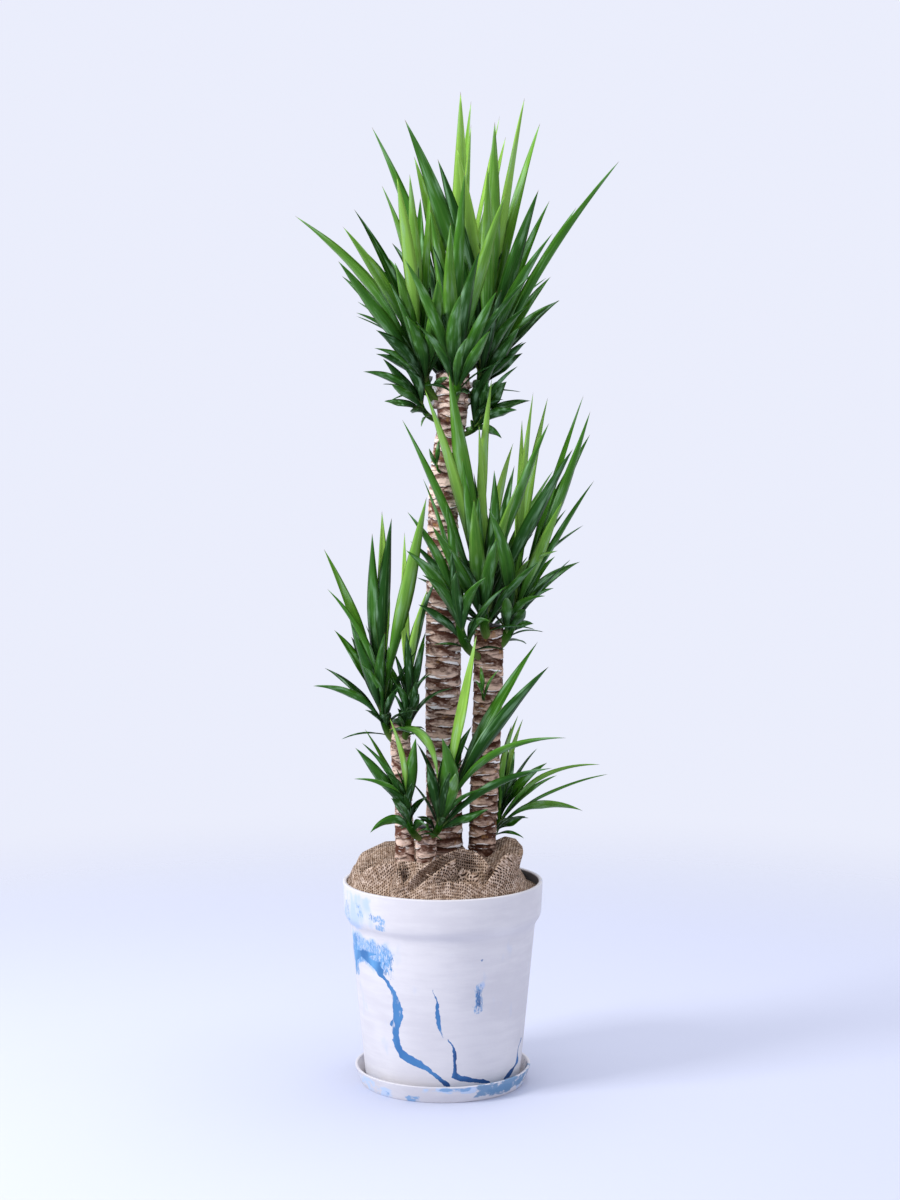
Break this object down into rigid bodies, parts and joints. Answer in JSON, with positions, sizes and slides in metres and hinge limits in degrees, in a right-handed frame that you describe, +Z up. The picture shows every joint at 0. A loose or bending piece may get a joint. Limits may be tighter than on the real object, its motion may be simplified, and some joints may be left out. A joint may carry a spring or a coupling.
{
  "type": "potted yucca",
  "caption": "Floor-standing yucca with leafy heads on cut canes, in a round marbled pot with a burlap top on a matching saucer.",
  "frame": {"origin": "middle of the saucer's underside, on the floor", "axes": "+Z up along the pot's axis, -Y towards the side that the plant is shown from, +X to the right as seen from there"},
  "size_m": [0.5137, 0.4458, 1.624],
  "materials": {
    "saucer": "matte",
    "pot": "matte",
    "soil": "matte",
    "burlap": "matte",
    "bark": "matte",
    "seal": "satin",
    "leaf": "satin"
  },
  "bodies": {
    "root": {"saucer": "saucer", "pot": "pot", "soil": "soil", "burlap": "burlap", "cane_tall": "bark", "cane_middle": "bark", "cane_left": "bark", "cane_short": "bark", "cane_back": "bark", "seal_tall": "seal", "seal_middle": "seal", "seal_left": "seal", "seal_short": "seal", "seal_back": "seal", "head_tall_left": "leaf", "head_tall_front": "leaf", "head_tall_right": "leaf", "head_tall_back": "leaf", "head_tall_low_left": "leaf", "head_tall_low_right": "leaf", "head_middle_left": "leaf", "head_middle_centre": "leaf", "head_middle_right": "leaf", "head_middle_back": "leaf", "head_left_left": "leaf", "head_left_right": "leaf", "head_low_left": "leaf", "head_low_front": "leaf", "head_low_back": "leaf", "sprout_middle": "leaf", "sprout_tall": "leaf"}
  },
  "joints": []
}
